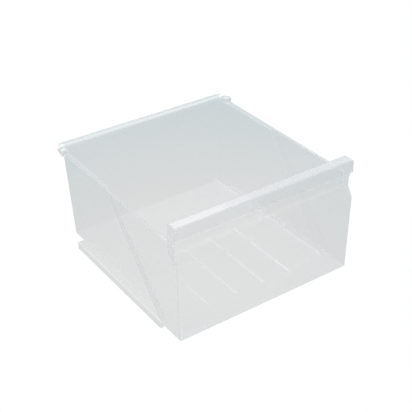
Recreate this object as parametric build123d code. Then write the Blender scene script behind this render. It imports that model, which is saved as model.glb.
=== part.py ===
# Clear moulded freezer drawer, one piece. Front faces -Y, +Z up, millimetres.
# The origin ends up under the middle of the whole drawer, at the runners' underside.
import os
from math import hypot
from build123d import *

# Body
wall = 2.4
floor_width = 401.0
floor_depth = 425.0
side_height = 208.0

# How far each wall leans out between floor and rim
front_lean = 1.0
rear_lean = 5.0
outer_lean = 2.5
inset_lean = 10.0

# Rounded edges of the body, outside
front_corner_radius = 4.5
rear_corner_radius = 7.0
floor_radius = 3.5
crease_radius = 3.8
valley_radius = 2.0
least_radius = 0.6

# Side step: the rear lower part of each side is set in behind a slanted crease
step_depth = 14.1
crease_floor_from_front = 68.0
crease_rim_from_front = 246.0

# Runners: a ledge beside each set-in wall with a lip hanging from it
runner_drop = 14.0
runner_rear_gap = 38.0

# Finger recess across the front; its end cheeks stand further forward
recess_below_rim = 44.0
recess_depth = 29.5
recess_rise = 21.0
recess_radius = 9.0
cheek_setback = 13.0

# Handle, a channel open downwards
handle_rise = 35.5
handle_depth = 27.5
handle_lip = 25.0
handle_radius = 5.0
handle_end_gap = 1.0
handle_end_radius = 4.0

# Side rims, rear bead and the stops at the bead's ends
rim_overhang = 1.5
rim_radius = 1.6
bead_rise = 7.5
bead_depth = 12.5
bead_skirt = 12.0
bead_radius = 5.0
bead_return = 26.0
bead_seat = 0.5
lug_reach = 3.5
lug_rise = 1.5
lug_length = 11.0
lug_radius = 4.0
lug_top_radius = 3.0

# Rounded ribs on the floor
rib_count = 4
rib_pitch = 64.5
rib_width = 7.0
rib_height = 1.0
rib_front_gap = 53.0
rib_length = 190.0
rib_sink = 0.5

# Heights that follow from the sizes
floor_z = runner_drop
rim_z = floor_z + side_height
knee_z = rim_z - recess_below_rim
handle_z = rim_z + handle_rise
lip_z = handle_z - handle_lip
bead_z = rim_z + bead_rise
bead_foot = bead_z - bead_skirt

# Plan positions at the floor and at the rim
front_floor = -floor_depth / 2
front_rim = front_floor - front_lean
rear_floor = floor_depth / 2
rear_rim = rear_floor + rear_lean
outer_floor = floor_width / 2
outer_rim = outer_floor + outer_lean
inset_floor = outer_floor - step_depth
inset_rim = inset_floor + inset_lean
crease_floor = front_floor + crease_floor_from_front
crease_rim = front_floor + crease_rim_from_front
crease_slope = hypot(crease_rim - crease_floor, side_height) / side_height
step_at_rim = outer_rim - inset_rim

# Plan positions of the front plate, the handle, the rims and the bead
plate_front = front_rim + recess_depth
plate_rear = plate_front + wall
handle_front = plate_rear - handle_depth
cheek_front = front_rim + cheek_setback
cheek_inner = outer_rim - wall
far_front = front_rim - recess_depth
rim_edge = outer_rim + rim_overhang
bead_end = rear_rim - wall - bead_return
lug_end = bead_end + lug_length
lug_foot = bead_foot - wall
lug_z = bead_z + lug_rise


def lean(at_floor, at_rim, z):
    """Position of a straight leaning wall at height z."""
    return at_floor + (at_rim - at_floor) * (z - floor_z) / side_height


def eased(radius, inset):
    """Radius of an edge that lies inset inside a rounded outer edge."""
    return max(radius - inset, least_radius)


def block(low, high):
    """Rectangle between two (first, second) corners, as a sketch."""
    return Polygon(low, (high[0], low[1]), high, (low[0], high[1]), align=None)


def between_sides(half_floor, half_rim, low_z, high_z):
    """Bar along Y with leaning sides, as wide as the body at each height."""
    low = lean(half_floor, half_rim, low_z)
    high = lean(half_floor, half_rim, high_z)
    section = Polygon((-low, low_z), (low, low_z), (high, high_z), (-high, high_z), align=None)
    return extrude(Plane.XZ * section, amount=2 * floor_depth, both=True)


def shifted(points, distance):
    """An open line of (y, z) points moved sideways by distance, corners kept sharp."""
    normals = []
    for (y0, z0), (y1, z1) in zip(points, points[1:]):
        length = hypot(y1 - y0, z1 - z0)
        normals.append(((z1 - z0) / length, (y0 - y1) / length))
    before = [normals[0]] + normals
    after = normals + [normals[-1]]
    moved = []
    for (y, z), (ay, az), (by, bz) in zip(points, before, after):
        reach = distance / (1 + ay * by + az * bz)
        moved.append((y + (ay + by) * reach, z + (az + bz) * reach))
    return moved


def side_bar(inset, depth, low_z, high_z, closing, half_length):
    """Bar along X between the front wall's face, recess included, and closing points."""
    face_line = [
        (lean(front_floor, front_rim, low_z), low_z),
        (lean(front_floor, front_rim, knee_z), knee_z),
        (front_rim + depth, knee_z + recess_rise),
        (front_rim + depth, high_z),
    ]
    face_line = shifted(face_line, inset)
    line = FilletPolyline(*face_line, radius=recess_radius)
    outline = make_face(Plane.YZ * (line + Polyline(face_line[-1], *closing, face_line[0])))
    return extrude(outline, amount=half_length, both=True)


def upright_edges(body, x_min, y_min, y_max, low_z, high_z):
    """Edges between two heights whose middle is off the centre plane and in a band of y."""
    picked = []
    for edge in body.edges():
        middle = edge.center()
        inside_z = low_z + wall < middle.Z < high_z - wall
        if inside_z and abs(middle.X) >= x_min and y_min < middle.Y < y_max:
            picked.append(edge)
    return picked


def crease_valleys(body, inset, low_z, high_z):
    """Slanted inner corners where the step meets the set-in sides."""
    valleys = []
    for edge in upright_edges(body, inset_floor / 2, plate_rear + wall, bead_end, low_z, high_z):
        middle = edge.center()
        set_in_face = lean(inset_floor, inset_rim, middle.Z) - inset
        if abs(abs(middle.X) - set_in_face) < least_radius:
            valleys.append(edge)
    return valleys


def tub(inset, depth, low_z, high_z):
    """Solid between two heights: a narrow rear block and a wide, slant-backed front block."""
    under = low_z - wall
    over = high_z + wall
    overlap = (crease_floor + plate_rear) / 2
    side_view = Polygon(
        (overlap, under), (lean(rear_floor, rear_rim, under) - inset, under),
        (lean(rear_floor, rear_rim, over) - inset, over), (overlap, over), align=None,
    )
    rear = extrude(Plane.YZ * side_view, amount=floor_width, both=True)
    rear &= between_sides(inset_floor - inset, inset_rim - inset, low_z, high_z)
    corners = upright_edges(rear, inset_floor / 2, 0, rear_rim, low_z, high_z)
    rear = fillet(corners, eased(rear_corner_radius, inset))

    crease_shift = inset * crease_slope
    back_line = [
        (lean(crease_floor, crease_rim, over) - crease_shift, over),
        (lean(crease_floor, crease_rim, under) - crease_shift, under),
    ]
    front = side_bar(inset, depth, under, over, back_line, floor_width)
    front &= between_sides(outer_floor - inset, outer_rim - inset, low_z, high_z)
    behind_plate = plate_rear + wall
    creases = upright_edges(front, inset_floor, behind_plate, rear_rim, low_z, high_z)
    bend = min(eased(crease_radius, inset), step_at_rim - 2 * least_radius)
    front = fillet(creases, bend)
    corners = upright_edges(front, inset_floor, far_front, behind_plate, low_z, high_z)
    front = fillet(corners, eased(front_corner_radius, inset))

    body = rear + front
    counter_bend = min(valley_radius + inset, step_at_rim - bend - least_radius)
    body = fillet(crease_valleys(body, inset, low_z, high_z), counter_bend)
    base = body.faces().sort_by(Axis.Z)[0]
    return fillet(base.edges(), min(eased(floor_radius, inset), bend))


def rear_bead(inner, outer, low_z, high_z, radius):
    """Bar that follows the set-in rim around the rear, between two distances from the rim."""
    end = (bead_end + lug_end) / 2
    route = FilletPolyline(
        (inset_rim, end), (inset_rim, rear_rim), (-inset_rim, rear_rim), (-inset_rim, end),
        radius=rear_corner_radius,
    )
    start = Plane(origin=(inset_rim, end, 0), x_dir=(1, 0, 0), z_dir=(0, -1, 0))
    section = block((inner, low_z), (outer, high_z))
    section = fillet(section.vertices().group_by(Axis.Y)[-1], radius)
    return sweep(start * section, path=Plane.XY * route)


def lugs(inset, low_z):
    """Rounded stop at each end of the rear bead, or the hollows inside them."""
    outline = block(
        (inset_rim - wall / 2 + inset, bead_end + inset),
        (inset_rim - wall + bead_depth + lug_reach - inset, lug_end - inset),
    )
    outline = fillet(outline.vertices().group_by(Axis.X)[-1], eased(lug_radius, inset))
    lug = extrude(Plane.XY.offset(low_z) * outline, amount=lug_z - inset - low_z)
    lug = fillet(lug.faces().sort_by(Axis.Z)[-1].edges(), eased(lug_top_radius, inset))
    return [lug, mirror(lug, about=Plane.YZ)]


def inner_rim(body):
    """Top edges of the side walls, towards the inside, between handle and rear bead."""
    picked = []
    for edge in body.edges():
        middle = edge.center()
        on_top = abs(middle.Z - rim_z) < least_radius
        along_side = plate_rear < middle.Y < bead_end
        if on_top and along_side and inset_rim - 2 * wall < abs(middle.X) < outer_rim - wall / 2:
            picked.append(edge)
    return picked


def runners():
    """Ledge and hanging lip on both sides; the lip's front end is a ramp."""
    rear = rear_floor - runner_rear_gap
    ledge = block((inset_floor - rear_corner_radius, crease_floor - wall), (outer_floor, rear))
    ledge = extrude(Plane.XY.offset(floor_z) * ledge, amount=wall)
    lip = Polygon(
        (crease_floor - runner_drop, floor_z), (crease_floor, 0), (rear, 0),
        (rear, floor_z + wall), (crease_floor, floor_z + wall), align=None,
    )
    lip = extrude(Plane.YZ.offset(outer_floor - wall) * lip, amount=wall)
    runner = ledge + lip
    return [runner, mirror(runner, about=Plane.YZ)]


def handle_bar(inset, foot_z):
    """Rounded bar across the front, or the channel inside it."""
    section = block((handle_front + inset, foot_z), (plate_rear - inset, handle_z - inset))
    section = fillet(section.vertices().group_by(Axis.Y)[-1], eased(handle_radius, inset))
    half = rim_edge - handle_end_gap - inset
    bar = extrude(Plane.YZ * section, amount=half, both=True)
    rims = []
    for edge in bar.edges():
        middle = edge.center()
        if abs(middle.X) > half - wall and middle.Z > foot_z + wall:
            rims.append(edge)
    return fillet(rims, eased(handle_end_radius, inset))


def floor_ribs():
    """Low rounded ribs with domed ends on the front half of the floor, evenly spread across it."""
    half = rib_width / 2
    straight = rib_length - rib_width
    middle_y = rib_front_gap + rib_length / 2 - floor_depth / 2
    crown = ThreePointArc((-half, 0), (0, rib_height), (half, 0))
    foot = Polyline((half, 0), (half, -rib_sink), (-half, -rib_sink), (-half, 0))
    section = make_face(crown + foot)
    dome = revolve(Plane.XZ * (section & block((0, -rib_sink), (half, rib_height))), Axis.Z)
    rib = extrude(Plane.XZ * section, amount=straight / 2, both=True)
    rib += [Pos(0, end * straight / 2, 0) * dome for end in (-1, 1)]
    rib = Pos(0, middle_y, floor_z + wall) * rib
    return [spot * rib for spot in GridLocations(rib_pitch, 0, rib_count, 1)]


# Outer skin, with the recess cut deeper between its two end cheeks
outside = tub(0, cheek_setback, floor_z, rim_z)
ahead = [(far_front, rim_z + wall), (far_front, floor_z - wall)]
outside -= side_bar(0, recess_depth, floor_z - wall, rim_z + wall, ahead, cheek_inner)

# Side rims and runners, the inside taken out, and the rims rounded towards it
rim_plate = block((-rim_edge, plate_front), (rim_edge, lug_end))
rim_plate = extrude(Plane.XY.offset(rim_z - wall) * rim_plate, amount=wall)
inside = tub(wall, recess_depth, floor_z + wall, lug_z + wall)
drawer = outside + rim_plate + runners() - inside
drawer = fillet(inner_rim(drawer), rim_radius)

# Rear bead and its stops, made hollow from below
bead_outer = bead_depth - wall
bead = rear_bead(-wall - bead_seat, bead_outer, bead_foot, bead_z, bead_radius) - inside
drawer = drawer + bead + lugs(0, bead_foot)
channel_radius = eased(bead_radius, wall)
channel = rear_bead(bead_seat, bead_outer - wall, lug_foot, bead_z - wall, channel_radius)
drawer = drawer - channel - lugs(wall, lug_foot)

# Upright plate and end cheeks that carry the handle, the handle, and the ribs
plate = block((plate_front, rim_z - wall), (plate_rear, lip_z + wall))
plate = extrude(Plane.YZ * plate, amount=outer_rim, both=True)
cheek = block((cheek_front, rim_z - wall), (plate_rear, lip_z + wall))
cheek = extrude(Plane.YZ.offset(cheek_inner) * cheek, amount=wall)
handle = handle_bar(0, lip_z) - handle_bar(wall, lip_z - wall)
drawer = drawer + plate + [cheek, mirror(cheek, about=Plane.YZ)] + handle + floor_ribs()

# Origin under the middle of the whole drawer
bounds = drawer.bounding_box()
drawer = Pos(0, -bounds.center().Y, -bounds.min.Z) * drawer

os.makedirs("parts", exist_ok=True)
export_step(drawer, "parts/drawer.step")
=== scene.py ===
# %% [markdown]
# A freezer drawer in clear plastic.
# The drawer is one injection moulding, so the solid model already has every wall, rib and rim, and
# the small rounds along them. What is left for Blender is the hard part of clear plastic: an object
# with almost no colour of its own shows only what it bends and reflects. This lesson loads the
# moulding, makes the plastic, builds a pale studio around it, and looks at it as the photograph does.

# %% Load the moulding
from math import pi, radians
import bmesh
import bpy
from mathutils import Matrix, Vector

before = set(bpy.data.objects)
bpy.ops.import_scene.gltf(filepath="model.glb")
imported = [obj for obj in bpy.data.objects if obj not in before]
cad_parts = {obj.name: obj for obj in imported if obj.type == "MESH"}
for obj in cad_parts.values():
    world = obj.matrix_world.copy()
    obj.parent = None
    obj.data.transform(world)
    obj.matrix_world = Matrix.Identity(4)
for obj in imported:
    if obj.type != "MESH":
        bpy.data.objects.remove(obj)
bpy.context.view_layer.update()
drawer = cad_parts["drawer"]

# %% [markdown]
# Every finish here is a tree of nodes: small steps that turn a place or a ray into a number or a
# colour, and end in a shader. They could be drawn by hand in the node editor. Built in code they
# can be read, changed and built again. Four helpers keep that short: one for any node, one that
# goes between two colours, one that makes a soft mask, and one that calculates.

# %% Helpers for nodes
def add_node(tree, kind, label, **sockets):
    """A node with a plain label and values on its own input sockets."""
    node = tree.nodes.new(kind)
    node.label = label
    for name, value in sockets.items():
        node.inputs[name.replace("_", " ")].default_value = value
    return node


def add_tones(tree, label, first, second):
    """A node that goes from one colour to another, with its factor, first colour and result sockets."""
    node = add_node(tree, "ShaderNodeMix", label)
    node.data_type = "RGBA"
    tones = [socket for socket in node.inputs if socket.type == "RGBA"]
    tones[0].default_value = first
    tones[1].default_value = second
    result = [socket for socket in node.outputs if socket.type == "RGBA"]
    return node.inputs["Factor"], tones[0], result[0]


def add_band(tree, label, source, start, full, within=None):
    """A mask that goes from 0 at start to 1 at full, or to the value of another mask."""
    node = add_node(tree, "ShaderNodeMapRange", label, From_Min=start, From_Max=full)
    tree.links.new(source, node.inputs["Value"])
    if within is not None:
        tree.links.new(within, node.inputs["To Max"])
    return node.outputs["Result"]


def add_math(tree, label, operation, first, second=0.0, third=0.0):
    """A calculation on one linked value and up to two more, linked or plain."""
    node = add_node(tree, "ShaderNodeMath", label)
    node.operation = operation
    for socket, value in zip(node.inputs, (first, second, third)):
        if isinstance(value, float):
            socket.default_value = value
        else:
            tree.links.new(value, socket)
    return node.outputs["Value"]


print("helpers:", [helper.__name__ for helper in (add_node, add_tones, add_band, add_math)])

# %% [markdown]
# Clear polystyrene bends light a little more than glass does, and it isn't perfectly even. The
# melt leaves slow waves in a large wall as it cools, and the polished mould leaves a very fine
# grain that blurs what lies behind by a trace. A glass shader could do the bending. The Principled
# shader is used because it takes the blur, the tilt and a glow as well. Both kinds of unevenness
# come from noise: the waves tilt the surface through a bump, and the grain changes the roughness.

# %% Clear plastic
plastic_tint = (0.975, 0.98, 0.98, 1.0)
plastic_bend = 1.57
see_through = 1.0
least_blur = 0.03
most_blur = 0.09
wave_scale = 9.0
wave_detail = 2.0
wave_depth = 0.0006
grain_scale = 240.0
grain_detail = 4.0

plastic = bpy.data.materials.new("clear_plastic_moulded")
plastic.use_nodes = True
tree = plastic.node_tree
tree.nodes.clear()
output = add_node(tree, "ShaderNodeOutputMaterial", "surface")
shader = add_node(tree, "ShaderNodeBsdfPrincipled", "clear plastic", IOR=plastic_bend)
shader.inputs["Base Color"].default_value = plastic_tint
shader.inputs["Transmission Weight"].default_value = see_through
place = add_node(tree, "ShaderNodeTexCoord", "place on the drawer")
waves = add_node(tree, "ShaderNodeTexNoise", "slow waves", Scale=wave_scale, Detail=wave_detail)
grain = add_node(tree, "ShaderNodeTexNoise", "polish grain", Scale=grain_scale, Detail=grain_detail)
blur = add_node(tree, "ShaderNodeMapRange", "blur", To_Min=least_blur, To_Max=most_blur)
tilt = add_node(tree, "ShaderNodeBump", "waves tilt the wall", Distance=wave_depth)
tree.links.new(place.outputs["Object"], waves.inputs["Vector"])
tree.links.new(place.outputs["Object"], grain.inputs["Vector"])
tree.links.new(grain.outputs["Fac"], blur.inputs["Value"])
tree.links.new(waves.outputs["Fac"], tilt.inputs["Height"])
tree.links.new(tilt.outputs["Normal"], shader.inputs["Normal"])
tree.links.new(shader.outputs["BSDF"], output.inputs["Surface"])
drawer.material_slots[0].material = plastic
print("material:", plastic.name, "with", len(tree.nodes), "nodes")

# %% [markdown]
# Three places differ from the polished walls. The lower edge of the handle's lip, where the halves
# of the mould part, is left matt, and draws a soft dark line. The inner side of the rear rim gets a
# painted highlight: a faint glow in the emission colour turns it whitish. The runners get the same
# painted glow more faintly, along the foot of the wall and along their outer edge.
#
# Each place could have faces with a material of their own. That would mean cutting the mesh, so
# masks made from the place on the drawer find all three, in metres along its axes.

# %% Matt lip
lip_z = 0.2325
lip_reach = 0.0004
lip_behind = -0.205
lip_blur = 0.3

axes = add_node(tree, "ShaderNodeSeparateXYZ", "place by axes")
tree.links.new(place.outputs["Object"], axes.inputs["Vector"])
along_y = axes.outputs["Y"]
up_z = axes.outputs["Z"]
at_lip = add_math(tree, "height of the lip's edge", "COMPARE", up_z, lip_z, lip_reach)
in_front = add_math(tree, "front of the handle", "LESS_THAN", along_y, lip_behind)
lip_edge = add_math(tree, "lip's edge", "MULTIPLY", at_lip, in_front)
matt = add_math(tree, "blur with matt edge", "MULTIPLY_ADD", lip_edge, lip_blur, blur.outputs["Result"])
tree.links.new(matt, shader.inputs["Roughness"])
print("matt lip:", lip_z, "m up,", lip_reach * 2, "m wide")

# %% Painted glow on the rim and runners
rim_low = 0.2238
rim_high = 0.2252
rim_outer = 0.2125
rim_inner = 0.2085
rim_front = 0.203
runner_foot = 0.1843
runner_edge = 0.1995
runner_reach = 0.0018
runner_top = 0.0164
runner_rise = 0.0015
runner_front = -0.155
runner_glow_share = 0.45
# The emission colour of a painted highlight: a glow on the inner side of the rear rim, fainter on the
# runners.
painted_glow_colour = (0.15, 0.145, 0.145, 1.0)
no_glow = (0.0, 0.0, 0.0, 1.0)

# Painted glow on the rim: its inner side at the rear, above the side rims.
at_rear = add_math(tree, "at the rear", "GREATER_THAN", along_y, rim_front)
inner_side = add_band(tree, "inner side of the rim", along_y, rim_outer, rim_inner, at_rear)
painted_glow = add_band(tree, "above the side rims", up_z, rim_low, rim_high, inner_side)

# Painted glow on the runners: two thin lines, at the foot of the wall and along the outer edge, glow at a
# share of the rim's colour.
aside = add_math(tree, "distance from the middle", "ABSOLUTE", axes.outputs["X"])
at_foot = add_math(tree, "foot of the wall", "COMPARE", aside, runner_foot, runner_reach)
at_edge = add_math(tree, "outer edge of the runner", "COMPARE", aside, runner_edge, runner_reach)
two_lines = add_math(tree, "two lines", "MAXIMUM", at_foot, at_edge)
at_top = add_math(tree, "height of the runner", "COMPARE", up_z, runner_top, runner_rise)
on_top = add_math(tree, "lines on the runner", "MULTIPLY", two_lines, at_top)
behind = add_math(tree, "behind the crease", "GREATER_THAN", along_y, runner_front)
on_length = add_math(tree, "length of the runner", "MULTIPLY", on_top, behind)
runner_painted_glow = add_math(tree, "rubbed by the guides", "MULTIPLY", on_length, runner_glow_share)

# All painted glow together goes into the emission colour of the plastic.
painted_glow_mask = add_math(tree, "all painted_highlights", "MAXIMUM", painted_glow, runner_painted_glow)
painted_glow_in, _, painted_glow_tone = add_tones(tree, "glow_colour of painted_highlights", no_glow, painted_glow_colour)
tree.links.new(painted_glow_mask, painted_glow_in)
print("plastic with its rubbed places:", len(tree.nodes), "nodes")

# %% [markdown]
# Light that enters at an edge is caught inside the wall and turns to and fro many times. In real
# plastic some of it is scattered out again on the way, so that edges look pale and not black. A
# cloudy volume could do that, but it is slow and grainy. The Light Path node counts the turns
# instead, and at the last turn that is followed the light counts as scattered.

# %% Caught light
turn_count = 10
edge_glow = (0.75, 0.76, 0.76, 1.0)
glow_strength = 1.0

path = add_node(tree, "ShaderNodeLightPath", "turns so far")
caught = add_math(tree, "caught in the wall", "GREATER_THAN", path.outputs["Ray Depth"], float(turn_count))
caught_in, caught_from, given_out = add_tones(tree, "light scattered out", no_glow, edge_glow)
tree.links.new(painted_glow_tone, caught_from)
tree.links.new(caught, caught_in)
tree.links.new(given_out, shader.inputs["Emission Color"])
shader.inputs["Emission Strength"].default_value = glow_strength
plastic.cycles.emission_sampling = "NONE"
bpy.context.scene.cycles.max_bounces = turn_count
bpy.context.scene.cycles.glossy_bounces = turn_count
bpy.context.scene.cycles.transmission_bounces = turn_count
print("plastic with its edges:", len(tree.nodes), "nodes,", turn_count, "turns followed")

# %% [markdown]
# The studio is a pale floor that runs out of sight. Straight to the eye it is white. Seen through
# the plastic it keeps the soft grey of paper in a studio, a little cooler further out, and that
# grey is what makes clear walls readable at all. Lamps on a white floor would need long tuning to
# give both. One floor that glows evenly can do it: the Light Path node tells a direct look from a
# look that came through the drawer.

# %% Floor
floor_radius = 9.0
floor_sides = 96
floor_drop = 0.0003
studio_white = (1.0, 1.0, 1.0, 1.0)
ground_near = (0.748, 0.741, 0.737, 1.0)
ground_far = (0.6, 0.67, 0.69, 1.0)
near_reach = 0.15
far_reach = 0.75

mesh = bmesh.new()
bmesh.ops.create_circle(mesh, cap_ends=True, segments=floor_sides, radius=floor_radius)
floor_mesh = bpy.data.meshes.new("studio_floor")
mesh.to_mesh(floor_mesh)
mesh.free()
floor = bpy.data.objects.new("studio_floor", floor_mesh)
floor.location.z = -floor_drop
bpy.context.scene.collection.objects.link(floor)
print("floor:", floor_radius * 2, "m across")

# %% Paper on the floor
paper = bpy.data.materials.new("studio_paper")
paper.use_nodes = True
tree = paper.node_tree
tree.nodes.clear()
output = add_node(tree, "ShaderNodeOutputMaterial", "surface")
glow = add_node(tree, "ShaderNodeEmission", "evenly lit paper")
spot = add_node(tree, "ShaderNodeNewGeometry", "place on the floor")
reach = add_node(tree, "ShaderNodeVectorMath", "distance from the drawer")
reach.operation = "LENGTH"
look = add_node(tree, "ShaderNodeLightPath", "direct look or not")
tree.links.new(spot.outputs["Position"], reach.inputs[0])
fade = add_band(tree, "near to far", reach.outputs["Value"], near_reach, far_reach)
fade_in, _, ground_tone = add_tones(tree, "ground tone", ground_near, ground_far)
look_in, look_from, seen_tone = add_tones(tree, "seen tone", ground_near, studio_white)
tree.links.new(fade, fade_in)
tree.links.new(ground_tone, look_from)
tree.links.new(look.outputs["Is Camera Ray"], look_in)
tree.links.new(seen_tone, glow.inputs["Color"])
tree.links.new(glow.outputs["Emission"], output.inputs["Surface"])
floor_mesh.materials.append(paper)
print("paper:", len(tree.nodes), "nodes")

# %% [markdown]
# Light comes from all around, as in a white tent: cool and dim near the horizon, brighter above
# the rear half, with a bright roof there. The front half stays dim, so that the slope of the finger
# recess, which mirrors it, stays calm. A photographed studio could be wrapped around the scene.
# A few tones that change with the direction are enough, and each of them can be set by itself.

# %% Tent
tent_low = (0.66, 0.7, 0.715, 1.0)
tent_high = (1.3, 1.33, 1.37, 1.0)
roof_tone = (1.8, 1.8, 1.8, 1.0)
horizon = 0.0
overhead = 1.0
roof_from = 0.66
roof_full = 0.78
rear_from = -0.3
rear_full = 0.3

world = bpy.data.worlds.new("studio_tent")
bpy.context.scene.world = world
world.use_nodes = True
tree = world.node_tree
tree.nodes.clear()
output = add_node(tree, "ShaderNodeOutputWorld", "surroundings")
glow = add_node(tree, "ShaderNodeBackground", "tent")
way = add_node(tree, "ShaderNodeTexCoord", "direction")
split = add_node(tree, "ShaderNodeSeparateXYZ", "height and depth")
look = add_node(tree, "ShaderNodeLightPath", "direct look or not")
lift_in, _, tent_tone = add_tones(tree, "low to high", tent_low, tent_high)
roof_in, roof_under, roofed_tone = add_tones(tree, "tent and roof", tent_high, roof_tone)
look_in, look_from, seen_tone = add_tones(tree, "seen tone", tent_low, studio_white)
tree.links.new(way.outputs["Generated"], split.inputs["Vector"])
rear_half = add_band(tree, "rear half", split.outputs["Y"], rear_from, rear_full)
lift = add_band(tree, "height", split.outputs["Z"], horizon, overhead, rear_half)
roof = add_band(tree, "roof", split.outputs["Z"], roof_from, roof_full, rear_half)
tree.links.new(lift, lift_in)
tree.links.new(roof, roof_in)
tree.links.new(tent_tone, roof_under)
tree.links.new(roofed_tone, look_from)
tree.links.new(look.outputs["Is Camera Ray"], look_in)
tree.links.new(seen_tone, glow.inputs["Color"])
tree.links.new(glow.outputs["Background"], output.inputs["Surface"])
print("tent:", len(tree.nodes), "nodes")

# %% [markdown]
# The flat top of the handle mirrors one narrow part of the studio towards the camera, and there it
# is the brightest place of the drawer. A brighter tent would lift every wall with it. Two strips of
# light stand just where that mirror looks: a long one, and a shorter one in front of it that makes
# the left end the brightest.

# %% Strips for the handle
strip_height = 0.1
strip_y = 0.4
strip_z = 0.735
strip_tone = (1.0, 0.88, 0.92)
handle_y = -0.2025
handle_z = 0.2575
strips = {
    "handle_strip": {"middle": 0.49, "width": 0.9, "ahead": 0.0, "tone": 0.45},
    "handle_glint": {"middle": 0.2, "width": 0.3, "ahead": 0.02, "tone": 0.45},
}

from_handle = Vector((0.0, strip_y - handle_y, strip_z - handle_z))
facing = from_handle.to_track_quat("Z", "Y").to_euler()
for name, chosen in strips.items():
    strip = bpy.data.lights.new(name, "AREA")
    strip.shape = "RECTANGLE"
    strip.size = chosen["width"]
    strip.size_y = strip_height
    strip.energy = chosen["tone"] * pi * chosen["width"] * strip_height
    strip.color = strip_tone
    holder = bpy.data.objects.new(name, strip)
    holder.location = Vector((chosen["middle"], strip_y, strip_z)) - chosen["ahead"] * from_handle
    holder.rotation_euler = facing
    holder.visible_camera = False
    bpy.context.scene.collection.objects.link(holder)
bpy.context.scene.view_settings.view_transform = "Standard"
print("light: tent and", len(strips), "strips")

# %% [markdown]
# The camera stands in front of the drawer, to its left and well above it. It could be moved by eye
# until the picture fits. Its place, its tilt and its focal length were worked out from the straight
# edges in the photograph instead, because a small error there bends every proportion.

# %% Camera
camera_place = Vector((-0.8929, -1.2948, 1.1213))
camera_turn = radians(-34.93)
camera_down = radians(32.52)
camera_roll = radians(-0.37)
quarter_turn = pi / 2
matrix_size = 4
focal_length = 80.626
film_width = 36.0

lens = bpy.data.cameras.new("camera")
lens.sensor_width = film_width
lens.lens = focal_length
camera = bpy.data.objects.new("camera", lens)
turn = Matrix.Rotation(camera_turn, matrix_size, "Z")
nod = Matrix.Rotation(quarter_turn - camera_down, matrix_size, "X")
roll = Matrix.Rotation(camera_roll, matrix_size, "Z")
camera.matrix_world = Matrix.Translation(camera_place) @ turn @ nod @ roll
bpy.context.scene.collection.objects.link(camera)
bpy.context.scene.camera = camera
print("camera:", focal_length, "mm at", tuple(camera_place))
